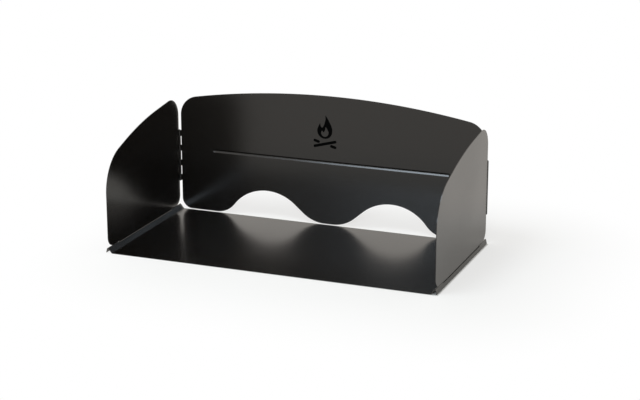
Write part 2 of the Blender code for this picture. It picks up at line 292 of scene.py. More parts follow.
def mirrored(points):
    """A line mirrored to the other side, and drawn the other way."""
    return [(-x, y) for x, y in reversed(points)]


def rail_path():
    """Middle line of the base plate's section, from the left lip's end to the right lip's end."""
    level = SHEET / 2
    crest = (WING_PLANE, RAIL_HEIGHT - level - FOLD_MID)
    ridge = arc(crest, FOLD_MID, math.pi / 2 + RAIL_LEG_ANGLE, LIP_FLARE)
    leg_top = ridge[0]
    foot = (leg_top[0] - (leg_top[1] - level) / math.tan(RAIL_LEG_ANGLE), level)
    fold = corner((0, level), foot, leg_top, FOLD_MID)
    lip_drop = ridge[-1][1] - LIP_CLEARANCE
    lip_end = (ridge[-1][0] + lip_drop * math.tan(LIP_FLARE), LIP_CLEARANCE)
    right = [*fold, *ridge, lip_end]
    return mirrored(right) + right


def rolled_sheet(start, offset, lean):
    """Middle line of a sheet, its neck and its curl, as (across, along) from the hinge axis."""
    curl = arc((0, 0), KNUCKLE_MID, -lean, CURL - lean)
    across, along = curl[0]
    neck = (offset, along - (across - offset) / math.tan(lean))
    return rounded([(offset, start), neck, curl[0]], [FOLD_MID]) + curl[1:]


def lugs(owner, edge, reach):
    """Outline points, going up, that run a straight edge out round that owner's knuckles.

    The panel's knuckles take turns with the wing's, and are the first and the last.
    """
    points = []
    low = HINGE_BOTTOM
    for i in range(2 * WING_KNUCKLES + 1):
        name, length = ("wing", WING_KNUCKLE) if i % 2 else ("panel", PANEL_KNUCKLE)
        if name == owner:
            bottom, top = low + FIT / 2, low + length - FIT / 2
            points += [(edge, bottom), (reach, bottom), (reach, top), (edge, top)]
        low += length
    return points


def panel_outline():
    """Outline of the back panel in X and Z, anticlockwise from the bottom centre."""
    foot = rounded(
        [
            (0, PANEL_BOTTOM), (ARCH_INNER_FOOT, PANEL_BOTTOM),
            (ARCH_PEAK_X, PANEL_BOTTOM + FOOT_DROP + ARCH_PEAK_HEIGHT),
            (ARCH_OUTER_FOOT, PANEL_BOTTOM), (PANEL_EDGE, PANEL_BOTTOM), (PANEL_EDGE, HINGE_BOTTOM),
        ],
        [ARCH_INNER_RADIUS, ARCH_RADIUS, ARCH_OUTER_RADIUS, PANEL_FOOT_RADIUS],
    )[:-1]
    crown = (0, PANEL_TOP - CROWN_RADIUS)
    reach = CROWN_RADIUS - PANEL_TOP_CORNER
    tilt = math.acos((PANEL_EDGE - PANEL_TOP_CORNER) / reach)
    top_corner = (PANEL_EDGE - PANEL_TOP_CORNER, crown[1] + reach * math.sin(tilt))
    top = arc(top_corner, PANEL_TOP_CORNER, 0, tilt)
    arch = arc(crown, CROWN_RADIUS, tilt, math.pi / 2)[1:]
    right = foot + lugs("panel", PANEL_EDGE, HINGE_X + LUG_REACH) + top + arch
    return right + mirrored(right[1:-1])


def panel_path():
    """Middle line of the back panel seen from above, with both edges rolled."""
    sheet = rolled_sheet(-HINGE_X, PANEL_OFFSET, PANEL_LEAN)[1:]
    right = [(HINGE_X + along, HINGE_Y + across) for across, along in sheet]
    return mirrored(right) + right


def wing_outline():
    """Outline of a wing in Y and Z, anticlockwise from the tab's rear end."""
    rear_foot = rounded(
        [(TAB_END, WING_BOTTOM), (WING_REAR, WING_BOTTOM), (WING_REAR, HINGE_BOTTOM)],
        [WING_FOOT_RADIUS],
    )[:-1]
    upper = rounded(
        [
            (WING_REAR, HINGE_TOP), (WING_REAR, WING_TIP_HEIGHT),
            (WING_FRONT + WING_BROW_REACH, WING_TIP_HEIGHT - WING_BROW_DROP),
            (WING_FRONT, WING_TIP_HEIGHT - WING_SHOULDER_DROP),
            (WING_FRONT, WING_BOTTOM), (-TAB_END, WING_BOTTOM),
        ],
        [WING_TIP_RADIUS, WING_BROW_RADIUS, WING_SHOULDER_RADIUS, WING_FOOT_RADIUS],
    )[1:]
    front = [(-TAB_END, WING_BOTTOM), (-TAB_END, TAB_BOTTOM)]
    rear = [(TAB_END, TAB_BOTTOM), (TAB_END, WING_BOTTOM)]
    tab = rounded(front + rear, [TAB_CORNER, TAB_CORNER])[1:-1]
    return rear_foot + lugs("wing", WING_REAR, HINGE_Y + LUG_REACH) + upper + tab


def wing_path(side):
    """Middle line of a wing seen from above, from beyond its front edge to the rolled rear edge."""
    sheet = rolled_sheet(WING_FRONT - CUTTER_MARGIN - HINGE_Y, WING_OFFSET, WING_LEAN)
    return [(side * (HINGE_X + across), HINGE_Y + along) for across, along in sheet]


def add_object(name, data):
    """Puts an object with the given data into the scene."""
    item = bpy.data.objects.new(name, data)
    bpy.context.scene.collection.objects.link(item)
    return item


def wire(name, points, closed=False):
    """A line drawn flat in X and Y, as an object of edges."""
    mesh = bpy.data.meshes.new(name)
    count = len(points)
    edges = [(i, (i + 1) % count) for i in range(count if closed else count - 1)]
    mesh.from_pydata([(u, v, 0) for u, v in points], edges, [])
    return add_object(name, mesh)


# Node trees

FLOAT = "NodeSocketFloat"
VECTOR = "NodeSocketVector"
GEOMETRY = "NodeSocketGeometry"


def feed(tree, node, inputs):
    """Sets a node's inputs: each is a value, a socket to link, or a list of sockets."""
    for name, value in inputs.items():
        for item in value if isinstance(value, list) else [value]:
            if isinstance(item, bpy.types.NodeSocket):
                tree.links.new(item, node.inputs[name])
            else:
                node.inputs[name].default_value = item


def add_node(tree, kind, inputs=None, output=0, **settings):
    """Adds a node with its settings. Returns one output, or all of them where output is None."""
    node = tree.nodes.new(kind)
    for name, value in settings.items():
        setattr(node, name, value)
    feed(tree, node, inputs or {})
    return node.outputs if output is None else node.outputs[output]


def new_group(name, kind, inputs, outputs):
    """Starts a node group. Returns its tree, the sockets of its inputs, and its output node.

    Each socket is named with its kind, or with a default from which its kind follows.
    """
    tree = bpy.data.node_groups.new(name, kind)
    for way, sockets in (("INPUT", inputs), ("OUTPUT", outputs)):
        for label, value in sockets.items():
            known = {float: FLOAT, tuple: VECTOR}.get(type(value))
            socket = tree.interface.new_socket(label, in_out=way, socket_type=known or value)
            if known:
                socket.default_value = value
    return tree, tree.nodes.new("NodeGroupInput").outputs, tree.nodes.new("NodeGroupOutput")


def piece_group(name, inputs):
    """Starts a piece's tree, which takes a geometry and a material besides its own inputs."""
    inputs = {"Geometry": GEOMETRY, **inputs, "Material": "NodeSocketMaterial"}
    return new_group(name, "GeometryNodeTree", inputs, {"Geometry": GEOMETRY})


def shared_group(name, maker):
    """A node group made once and then used again."""
    return bpy.data.node_groups.get(name) or maker()


def group_node(tree, name, maker, inputs, output=0):
    """A node that stands for a shared group, in a geometry tree or a shader tree."""
    group = shared_group(name, maker)
    return add_node(tree, tree.bl_idname.replace("Tree", "Group"), inputs, output, node_tree=group)


# Functions that take no tree work in the tree of the sockets given to them

def maths(operation, first, second=0.5, third=0.0, clamp=False):
    """A Math node's output."""
    tree = next(item.id_data for item in (first, second) if hasattr(item, "id_data"))
    inputs = {0: first, 1: second, 2: third}
    return add_node(tree, "ShaderNodeMath", inputs, operation=operation, use_clamp=clamp)


def times(first, second):
    """Two values multiplied."""
    return maths("MULTIPLY", first, second)


def plus(first, second):
    """Two values added."""
    return maths("ADD", first, second)


def minus(first, second):
    """One value less another."""
    return maths("SUBTRACT", first, second)


def vector(tree, x=0.0, y=0.0, z=0.0):
    """A vector put together from three values or sockets."""
    return add_node(tree, "ShaderNodeCombineXYZ", {0: x, 1: y, 2: z})


def axes_of(value):
    """A vector's three values."""
    return add_node(value.id_data, "ShaderNodeSeparateXYZ", {0: value}, None)


def length_of(value):
    """A vector's length."""
    tree = value.id_data
    return add_node(tree, "ShaderNodeVectorMath", {0: value}, "Value", operation="LENGTH")


def moved(geometry, turn=(0, 0, 0), shift=(0, 0, 0)):
    """A geometry turned and then shifted."""
    inputs = {"Geometry": geometry, "Rotation": turn, "Translation": shift}
    return add_node(geometry.id_data, "GeometryNodeTransform", inputs)


def drawn_out(line, way):
    """The surface that a line of edges sweeps as it moves by the given vector."""
    inputs = {"Mesh": line, "Offset": way, "Offset Scale": 1.0}
    return add_node(line.id_data, "GeometryNodeExtrudeMesh", inputs, mode="EDGES")


def block(tree, *size):
    """A box about the origin."""
    return add_node(tree, "GeometryNodeMeshCube", {"Size": vector(tree, *size)})


def boolean(operation, first, second):
    """A Mesh Boolean node's output."""
    tree = first.id_data
    inputs = {0: first, 1: second} if operation == "DIFFERENCE" else {1: [first, second]}
    return add_node(tree, "GeometryNodeMeshBoolean", inputs, operation=operation, solver="EXACT")


def thicken_group():
    """Gives an open surface a thickness, half to each side, and closes it."""
    inputs = {"Surface": GEOMETRY, "Thickness": SHEET}
    tree, source, end = new_group("thicken", "GeometryNodeTree", inputs, {"Solid": GEOMETRY})
    normal = add_node(tree, "GeometryNodeInputNormal")
    half = {0: normal, "Scale": times(source["Thickness"], -0.5)}
    shift = add_node(tree, "ShaderNodeVectorMath", half, operation="SCALE")
    placed = {"Geometry": source["Surface"], "Offset": shift}
    base = add_node(tree, "GeometryNodeSetPosition", placed)
    outward = {"Mesh": base, "Offset Scale": source["Thickness"], "Individual": False}
    top = add_node(tree, "GeometryNodeExtrudeMesh", outward, mode="FACES")
    bottom = add_node(tree, "GeometryNodeFlipFaces", {"Mesh": base})
    both = add_node(tree, "GeometryNodeJoinGeometry", {0: [top, bottom]})
    solid = add_node(tree, "GeometryNodeMergeByDistance", {"Geometry": both, "Distance": WELD})
    feed(tree, end, {0: solid})
    return tree


def thickened(surface, thickness):
    """A surface that the shared group has given its thickness."""
    inputs = {"Surface": surface, "Thickness": thickness}
    return group_node(surface.id_data, "thicken", thicken_group, inputs)


def mark_edges_group():
    """Marks each cut edge for its small rounding, and shades the surface smooth."""
    inputs = {"Mesh": GEOMETRY, "Least Angle": LEAST_EDGE_ANGLE, "Share": BEVEL_SHARE}
    tree, source, end = new_group("mark_edges", "GeometryNodeTree", inputs, {"Marked": GEOMETRY})
    angles = {0: add_node(tree, "GeometryNodeInputMeshEdgeAngle"), 1: source["Least Angle"]}
    sharp = add_node(tree, "FunctionNodeCompare", angles, operation="GREATER_THAN")
    stored = {"Geometry": source["Mesh"], "Selection": sharp, "Value": source["Share"]}
    stored["Name"] = "bevel_weight_edge"
    marked = add_node(tree, "GeometryNodeStoreNamedAttribute", stored, domain="EDGE")
    feed(tree, end, {0: add_node(tree, "GeometryNodeSetShadeSmooth", {"Geometry": marked})})
    return tree


def finish_tree(tree, source, end, geometry):
    """Marks the edges, and ends a tree with Realize Instances and Set Material."""
    marked = group_node(tree, "mark_edges", mark_edges_group, {"Mesh": geometry})
    real = add_node(tree, "GeometryNodeRealizeInstances", {0: marked})
    inputs = {"Geometry": real, "Material": source["Material"]}
    feed(tree, end, {0: add_node(tree, "GeometryNodeSetMaterial", inputs)})
    return tree


def folded_plate_tree():
    """The base plate: its section drawn along Y, given its thickness, with a slot in each ridge."""
    sizes = {
        "Depth": PLATE_DEPTH,
        "Sheet": SHEET,
        "Rail Span": RAIL_SPAN,
        "Slot Length": 2 * SLOT_END,
        "Slot Edge": SLOT_EDGE,
        "Slot Width": SHEET + 2 * FIT,
        "Sweep Length": 2 * (TAB_END + SLOT_PLAY),
        "Sweep Width": 2 * CUTTER_MARGIN,
    }
    tree, source, end = piece_group("folded_plate", sizes)
    back = vector(tree, y=times(source["Depth"], -0.5))
    section = moved(source["Geometry"], (math.pi / 2, 0, 0), back)
    ribbon = drawn_out(section, vector(tree, y=source["Depth"]))
    plate = thickened(ribbon, source["Sheet"])
    first = vector(tree, times(source["Rail Span"], -0.5))
    line = {"Count": 2, "Start Location": first, "Offset": vector(tree, source["Rail Span"])}
    ends = add_node(tree, "GeometryNodeMeshLine", line)

    def cut(solid, width, length):
        """Takes a box out of both ridges, from the slot's edge up."""
        height = times(source["Sweep Width"], 0.5)
        middle = plus(source["Slot Edge"], times(height, 0.5))
        cutter = moved(block(tree, width, length, height), shift=vector(tree, z=middle))
        both = add_node(tree, "GeometryNodeInstanceOnPoints", {"Points": ends, "Instance": cutter})
        both = add_node(tree, "GeometryNodeRealizeInstances", {0: both})
        return boolean("DIFFERENCE", solid, both)

    swept = cut(plate, source["Sweep Width"], source["Sweep Length"])
    return finish_tree(tree, source, end, cut(swept, source["Slot Width"], source["Slot Length"]))


def trimmed_sheet_tree():
    """A sheet drawn upwards from its section, given its thickness and trimmed to its outline."""
    sizes = {
        "Section": "NodeSocketObject",
        "Height": PANEL_TOP + CUTTER_MARGIN,
        "Sheet": SHEET,
        "Trim Depth": 2 * (LUG_REACH + CUTTER_MARGIN),
        "Trim Turn": VECTOR,
        "Trim Place": VECTOR,
    }
    tree, source, end = piece_group("trimmed_sheet", sizes)
    section = add_node(tree, "GeometryNodeObjectInfo", {"Object": source["Section"]}, "Geometry")
    ribbon = drawn_out(section, vector(tree, z=source["Height"]))
    sheet = thickened(ribbon, source["Sheet"])
    outline = add_node(tree, "GeometryNodeMeshToCurve", {0: source["Geometry"]})
    flat = add_node(tree, "GeometryNodeFillCurve", {"Curve": outline}, mode="NGONS")
    trim = thickened(flat, source["Trim Depth"])
    trim = moved(trim, source["Trim Turn"], source["Trim Place"])
    return finish_tree(tree, source, end, boolean("INTERSECT", sheet, trim))


def pressed_bead_tree():
    """A long groove of rounded V section with round ends, pressed through a sheet towards +Y."""
    sizes = {
        "Length": 2 * (PANEL_EDGE - BEAD_MARGIN),
        "Half Width": BEAD_HALF_WIDTH,
        "Depth": BEAD_DEPTH,
        "Sheet": SHEET,
        "Roundness": BEAD_ROUNDNESS,
        "Place": (0, PANEL_FACE, BEAD_HEIGHT),
    }
    tree, source, end = piece_group("pressed_bead", sizes)
    straight = minus(times(source["Length"], 0.5), source["Half Width"])

    def drawn_cone(half_width, depth):
        """A round-tipped cone drawn out along X, with its base a little in front of the sheet."""
        shape = {
            "Vertices": BEAD_SIDES,
            "Side Segments": BEAD_RINGS,
            "Radius Top": times(half_width, CONE_TIP),
            "Radius Bottom": times(half_width, CONE_BASE),
            "Depth": depth,
        }
        cone = add_node(tree, "GeometryNodeMeshCone", shape, "Mesh")
        cone = moved(cone, (0, 0, math.pi / BEAD_SIDES))
        axes = axes_of(add_node(tree, "GeometryNodeInputPosition"))
        radius = length_of(vector(tree, axes["X"], axes["Y"]))
        share = maths("DIVIDE", radius, half_width)
        bend = source["Roundness"]
        spread = maths("MULTIPLY_ADD", bend, 2.0, third=1.0)
        square = times(times(share, share), spread)
        root = maths("SQRT", plus(square, times(bend, bend)))
        height = times(minus(plus(bend, 1.0), root), depth)
        along = times(maths("SIGN", axes["X"]), straight)
        place = vector(tree, plus(axes["X"], along), axes["Y"], height)
        drawn = add_node(tree, "GeometryNodeSetPosition", {"Geometry": cone, "Position": place})
        return moved(drawn, (-math.pi / 2, 0, 0), source["Place"])

    outer_width = plus(times(source["Sheet"], RIDGE_SPREAD), source["Half Width"])
    outer = drawn_cone(outer_width, plus(source["Depth"], source["Sheet"]))
    side = times(outer_width, BLOCK_SIDE)
    place = axes_of(source["Place"])
    middle = plus(times(source["Sheet"], 0.5), place["Y"])
    front = minus(middle, times(side, 0.5))
    before = block(tree, times(source["Length"], BLOCK_WIDTH), side, side)
    before = moved(before, shift=vector(tree, y=front, z=place["Z"]))
    ridge = boolean("DIFFERENCE", outer, before)
    raised = boolean("UNION", source["Geometry"], ridge)
    groove = drawn_cone(source["Half Width"], source["Depth"])
    return finish_tree(tree, source, end, boolean("DIFFERENCE", raised, groove))


# Modifiers and pieces

def nodes_modifier(item, tree, values):
    """Adds a tree to an object as a modifier, with its named inputs, sheet and coat set."""
    sizes = bpy.context.scene.windscreen_sizes
    values = {**values, "Sheet": sizes.sheet, "Material": black_coat()}
    modifier = item.modifiers.new(tree.name, "NODES")
    modifier.node_group = tree
    for socket in tree.interface.items_tree:
        if socket.item_type == "SOCKET" and socket.in_out == "INPUT" and socket.name in values:
            modifier[socket.identifier] = values[socket.name]


def soft_edges(item):
    """Rounds the marked edges, and lets the large faces keep their own direction."""
    bevel = item.modifiers.new("Soft edges", "BEVEL")
    bevel.limit_method = "WEIGHT"
    bevel.width = bpy.context.scene.windscreen_sizes.edge_radius / BEVEL_SHARE
    bevel.segments = BEVEL_STEPS
    item.modifiers.new("Even shading", "WEIGHTED_NORMAL").weight = 100


def rolled_piece(label, path, outline, height, turn, place):
    """A sheet rolled along a path and trimmed to its outline. Returns it and its section."""
    section = wire(f"{label}_section", path)
    item = wire(f"{label}_outline", outline, closed=True)
    values = {"Section": section, "Height": height + CUTTER_MARGIN}
    values |= {"Trim Turn": turn, "Trim Place": place}
    nodes_modifier(item, shared_group("trimmed_sheet", trimmed_sheet_tree), values)
    return item, section


def mark_rim(mesh):
    """Stores on each face how much it belongs to the sheet's cut edge: small faces do."""
    values = []
    for face in mesh.polygons:
        corners = [mesh.vertices[i].co for i in face.vertices]
        sides = [(a - b).length for a, b in zip(corners, corners[1:] + corners[:1])]
        small = min(sides) < RIM_WIDTH * SHEET and face.area < (RIM_SIDE * SHEET) ** 2
        values.append(float(small))
    layer = mesh.attributes.new("rim", "FLOAT", "FACE")
    layer.data.foreach_set("value", values)


def plain_mesh(item):
    """The mesh that an object's modifiers give. The object itself is removed."""
    graph = bpy.context.evaluated_depsgraph_get()
    mesh = bpy.data.meshes.new_from_object(item.evaluated_get(graph))
    bpy.data.objects.remove(item)
    return mesh


def settle(item, name, body, node):
    """Turns an object with modifiers into a plain mesh piece that stands for a CAD node."""
    mesh = plain_mesh(item)
    mesh.name = name
    mark_rim(mesh)
    piece = add_object(name, mesh)
    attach(piece, body)
    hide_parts(node)


# Finishes

def noise(place, scale, detail, roughness=0.5, distortion=0.0):
    """Noise over the piece."""
    inputs = {"Vector": place, "Scale": scale, "Detail": detail, "Roughness": roughness}
    return add_node(place.id_data, "ShaderNodeTexNoise", inputs | {"Distortion": distortion})


def mapped(value, low, high, start=0.0, end=1.0, kind="LINEAR"):
    """A value taken from one range to another, and held at its ends."""
    inputs = {"Value": value, "From Min": low, "From Max": high, "To Min": start, "To Max": end}
    return add_node(value.id_data, "ShaderNodeMapRange", inputs, interpolation_type=kind)


def mix_colour(factor, first, second):
    """A colour mixed from two."""
    inputs = {0: factor, 6: first, 7: second}
    return add_node(factor.id_data, "ShaderNodeMix", inputs, 2, data_type="RGBA")


def mask_group(name, inputs, outputs):
    """Starts a shader group that takes a place and its own inputs, and gives plain values."""
    inputs = {"Vector": VECTOR, **inputs}
    return new_group(name, "ShaderNodeTree", inputs, dict.fromkeys(outputs, FLOAT))


def coat_grain_group():
    """The sheet's slight waves, the coat's fine orange peel, and its slow change of gloss."""
    inputs = {
        "Wave Scale": 6.5,
        "Wave Height": 0.0011,
        "Peel Scale": 620.0,
        "Peel Height": 0.000003,
        "Cloud Scale": 7.0,
        "Roughness": 0.21,
        "Spread": 0.03,
    }
    tree, source, end = mask_group("coat_grain", inputs, ("Height", "Roughness", "Cloud"))
    place = source["Vector"]
    wave = times(noise(place, source["Wave Scale"], 0.0), source["Wave Height"])
    peel = times(noise(place, source["Peel Scale"], 1.0), source["Peel Height"])
    cloud = noise(place, source["Cloud Scale"], 3.0)
    about = times(minus(cloud, 0.5), source["Spread"])
    rough = maths("ADD", source["Roughness"], about, clamp=True)
    feed(tree, end, {"Height": plus(peel, wave), "Roughness": rough, "Cloud": cloud})
    return tree


def edge_wear_group():
    """How far the coat is rubbed thin along the sheet's cut edges."""
    inputs = {"Rim": 0.0, "Scale": 260.0, "Amount": 0.5}
    tree, source, end = mask_group("edge_wear", inputs, ("Wear",))
    patch = noise(source["Vector"], source["Scale"], 3.0, roughness=0.6)
    on_rim = times(mapped(patch, *WEAR_LEVELS), source["Rim"])
    feed(tree, end, {"Wear": maths("MULTIPLY", on_rim, source["Amount"], clamp=True)})
    return tree


def handling_group():
    """Faint dust and the soft smears that hands leave on a satin surface."""
    inputs = {"Scale": 16.0, "Amount": 1.0}
    tree, source, end = mask_group("handling", inputs, ("Smear", "Dust"))
    warp = noise(source["Vector"], source["Scale"], 2.0, distortion=1.4)
    smear = mapped(warp, *SMEAR_LEVELS)
    fine = {"Vector": source["Vector"], "Scale": times(source["Scale"], FLECK_FINENESS)}
    fleck = add_node(tree, "ShaderNodeTexVoronoi", fine, "Distance")
    dust = mapped(fleck, 0.0, FLECK_REACH, 1.0, 0.0)
    amount = source["Amount"]
    feed(tree, end, {"Smear": times(smear, amount), "Dust": times(dust, amount)})
    return tree


def start_paint(name, grain_inputs):
    """Starts a material with the coat's grain. Returns it, its tree, shader, place and grain."""
    material = bpy.data.materials.new(name)
    material.use_nodes = True
    tree = material.node_tree
    shader = tree.nodes["Principled BSDF"]
    place = add_node(tree, "ShaderNodeTexCoord", output="Object")
    inputs = {"Vector": place, **grain_inputs}
    grain = group_node(tree, "coat_grain", coat_grain_group, inputs, None)
    bump = {"Height": grain["Height"], "Strength": 1.0, "Distance": 1.0}
    feed(tree, shader, {"Normal": add_node(tree, "ShaderNodeBump", bump)})
    return material, tree, shader, place, grain


def coated_steel(name, colour, worn, roughness, spread, wave, peel, handling, wear):
    """Satin black powder coat on sheet steel, rubbed a little along the cut edges."""
    if name in bpy.data.materials:
        return bpy.data.materials[name]
    inputs = {"Wave Height": wave, "Peel Height": peel, "Roughness": roughness, "Spread": spread}
    material, tree, shader, place, grain = start_paint(name, inputs)
    inputs = {"Vector": place, "Amount": handling}
    marks = group_node(tree, "handling", handling_group, inputs, None)
    rim = add_node(tree, "ShaderNodeAttribute", output="Fac", attribute_name="rim")
    inputs = {"Vector": place, "Rim": rim, "Amount": wear}
    rubbed = group_node(tree, "edge_wear", edge_wear_group, inputs)
    deep, pale = ((*(share * c for c in colour), 1.0) for share in COAT_SHADES)
    coat = mix_colour(grain["Cloud"], deep, pale)
    dusty = mix_colour(times(marks["Dust"], DUST_COVER), coat, DUST_COLOUR)
    smear = times(marks["Smear"], SMEAR_DULLNESS)
    inputs = {
        "Base Color": mix_colour(rubbed, dusty, (*worn, 1.0)),
        "Roughness": maths("ADD", grain["Roughness"], smear, clamp=True),
        "IOR": COAT_IOR,
    }
    feed(tree, shader, inputs)
    return material


def black_coat():
    """The coat that all four sheets wear."""
    coat = bpy.context.scene.windscreen_coat
    values = {name: getattr(coat, name) for name in WindscreenCoat.__annotations__}
    return coated_steel("satin_black_coat", **values)


def pin_coat():
    """The thinner coat on the hinge wires."""
    return coated_steel(
        "pin_black_coat",
        colour=(0.004, 0.004, 0.004),
        worn=(0.12, 0.115, 0.11),
        roughness=0.3,
        spread=0.05,
        wave=0.0,
        peel=0.000003,
        handling=0.3,
        wear=0.4,
    )


def print_ink():
    """Flat black ink, duller than the coat that it lies on."""
    inputs = {"Peel Height": 0.00002, "Roughness": 0.7, "Spread": 0.08}
    material, tree, shader, _, grain = start_paint("matt_ink", inputs)
    deep, pale = ((tone, tone, tone, 1.0) for tone in INK_TONES)
    inputs = {
        "Base Color": mix_colour(grain["Cloud"], deep, pale),
        "Roughness": grain["Roughness"],
        "Specular IOR Level": INK_SHINE,
    }
    feed(tree, shader, inputs)
    return material


# Properties

def setting(name, description, default, **more):
    """A number, or a row of numbers, that a user can change."""
    kind = bpy.props.FloatProperty
    if isinstance(default, tuple):
        kind = bpy.props.FloatVectorProperty
        more["size"] = len(default)
    return kind(name=name, description=description, default=default, **more)


def a_length(name, description, default):
    """A length that a user can change."""
    return setting(name, description, default, unit="LENGTH")


def a_share(name, description, default):
    """A share of one that a user can change."""
    return setting(name, description, default, min=0.0, max=1.0)


def a_colour(name, description, default):
    """A colour that a user can change."""
    return setting(name, description, default, subtype="COLOR")


def a_power(name, default):
    """The power of a softbox."""
    return setting(name, f"Power of the {name.lower()}", default, unit="POWER")


def a_place(name, default):
    """The place of a softbox."""
    about = f"Middle of the {name.lower()}"
    return setting(f"{name} place", about, default, subtype="TRANSLATION", unit="LENGTH")


def a_size(name, default):
    """The size of a softbox."""
    return a_length(f"{name} size", f"Width and height of the {name.lower()}", default)


class WindscreenSizes(bpy.types.PropertyGroup):
    """Sizes that change how the sheets look."""

    sheet: a_length("Sheet", "Thickness of the steel sheet", SHEET)
    plate_depth: a_length("Plate depth", "Depth of the base plate", PLATE_DEPTH)
    edge_radius: a_length("Edge radius", "Rounding of the coated cut edges", EDGE_RADIUS)
    bead_depth: a_length("Bead depth", "Depth of the pressed bead", BEAD_DEPTH)


class WindscreenCoat(bpy.types.PropertyGroup):
    """Colour and gloss of the coat."""

    colour: a_colour("Coat colour", "Colour of the powder coat", (0.0024, 0.0016, 0.0009))
    worn: a_colour("Worn colour", "Colour where the coat is rubbed thin", (0.045, 0.043, 0.041))
    roughness: a_share("Roughness", "Dullness of the coat", 0.21)
    spread: setting("Gloss spread", "How much the gloss changes over a sheet", 0.03)
    wave: a_length("Sheet waves", "Height of the sheets' slight waves", 0.0011)
    peel: a_length("Orange peel", "Height of the coat's fine texture", 0.000003)
    handling: setting("Handling", "Amount of dust and smears", 0.6)
    wear: setting("Edge wear", "Amount of rubbing along the cut edges", 0.5)


class WindscreenStage(bpy.types.PropertyGroup):
    """Floor, light and camera."""

    floor_colour: a_colour("Floor colour", "Colour of the pale floor", (0.985, 0.957, 0.893))
    floor_glow: a_share("Floor white", "Share of plain white in the floor beside the object", 0.62)
    gloss_shade: a_share("Shadow in gloss", "Share of that white left out in reflections", 0.5)
    floor_near: a_length("Shadow reach", "Distance within which the floor keeps its shadow", 0.02)
    floor_far: a_length("White from", "Distance beyond which the floor shows plain white", 0.32)
    ambient: setting("Ambient", "Strength of the light from all round", 0.55)
    top_power: a_power("Top softbox", 8.0)
    top_place: a_place("Top softbox", (-0.27, -0.54, 1.6))
    top_size: a_size("Top softbox", (0.6, 0.5))
    front_power: a_power("Front softbox", 16.0)
    front_place: a_place("Front softbox", (-0.46, -3.0, 0.88))
    front_size: a_size("Front softbox", (1.3, 0.5))
    side_power: a_power("Side softbox", 24.0)
    side_place: a_place("Side softbox", (0.96, -3.0, 1.6))
    side_size: a_size("Side softbox", (0.6, 0.5))


# Operators

class WINDSCREEN_OT_base_plate(bpy.types.Operator):
    """Builds the base plate with its folded, slotted rails"""

    bl_idname = "windscreen.base_plate"
    bl_label = "Base plate"

    def execute(self, context):
        sizes = context.scene.windscreen_sizes
        plate = wire("plate_section", rail_path())
        nodes_modifier(plate, folded_plate_tree(), {"Depth": sizes.plate_depth})
        soft_edges(plate)
        settle(plate, "folded_base_plate", "base_plate", "base_plate")
        return {"FINISHED"}


class WINDSCREEN_OT_back_panel(bpy.types.Operator):
    """Builds the back panel with its arches, rolled knuckles and pressed bead"""

    bl_idname = "windscreen.back_panel"
    bl_label = "Back panel"

    def execute(self, context):
        sizes = context.scene.windscreen_sizes
        turn, place = (math.pi / 2, 0.0, 0.0), (0.0, PANEL_PLANE, 0.0)
        lines = panel_path(), panel_outline()
        panel, section = rolled_piece("panel", *lines, PANEL_TOP, turn, place)
        nodes_modifier(panel, pressed_bead_tree(), {"Depth": sizes.bead_depth})
        soft_edges(panel)
        settle(panel, "arched_back_panel", "back_panel", "back_panel")
        bpy.data.objects.remove(section)
        return {"FINISHED"}


class WINDSCREEN_OT_wings(bpy.types.Operator):
    """Builds both side wings with their rolled knuckles"""

    bl_idname = "windscreen.wings"
    bl_label = "Wings"

    def execute(self, context):
        turn = (math.pi / 2, 0.0, math.pi / 2)
        for side, label in ((-1, "left"), (1, "right")):
            node = f"{label}_wing"
            place = (side * WING_PLANE, 0.0, 0.0)
            lines = wing_path(side), wing_outline()
            wing, section = rolled_piece(node, *lines, WING_TIP_HEIGHT, turn, place)
            soft_edges(wing)
            settle(wing, f"{label}_leaf_wing", node, node)
            bpy.data.objects.remove(section)
        return {"FINISHED"}


def pin_profile():
    """Half the section of a hinge pin, from the tip of one domed head to the other's."""
    top = HINGE_TOP + FIT / 2
    bottom = HINGE_BOTTOM - FIT / 2
    head = BORE_RADIUS + PIN_HEAD_OVERHANG
    turns = [math.pi / 2 * i / PIN_DOME_STEPS for i in range(PIN_DOME_STEPS + 1)]
    dome = [(head * math.sin(a), PIN_HEAD_HEIGHT * math.cos(a)) for a in turns]
    upper = [(r, top + h) for r, h in dome] + [(PIN_RADIUS, top)]
    return upper + [(PIN_RADIUS, bottom)] + [(r, bottom - h) for r, h in reversed(dome)]


class WINDSCREEN_OT_hinge_pins(bpy.types.Operator):
    """Turns both hinge pins with their domed ends"""

    bl_idname = "windscreen.hinge_pins"
    bl_label = "Hinge pins"

    def execute(self, context):
        for side, label in ((-1, "left"), (1, "right")):
            shape = bmesh.new()
            verts = [shape.verts.new((r, 0, z)) for r, z in pin_profile()]
            edges = [shape.edges.new(pair) for pair in zip(verts, verts[1:])]
            turn = {"axis": (0, 0, 1), "angle": 2 * math.pi, "steps": PIN_SIDES}
            bmesh.ops.spin(shape, geom=verts + edges, use_merge=True, **turn)
            bmesh.ops.remove_doubles(shape, verts=shape.verts, dist=WELD)
            bmesh.ops.recalc_face_normals(shape, faces=shape.faces)
            bmesh.ops.translate(shape, verts=shape.verts, vec=(side * HINGE_X, HINGE_Y, 0))
            mesh = bpy.data.meshes.new(f"{label}_pin_turned")
            shape.to_mesh(mesh)
            shape.free()
            mesh.shade_smooth()
            mesh.materials.append(pin_coat())
            pin = add_object(mesh.name, mesh)
            settle(pin, f"{label}_pin_wire", "back_panel", f"{label}_hinge_pin")
        return {"FINISHED"}


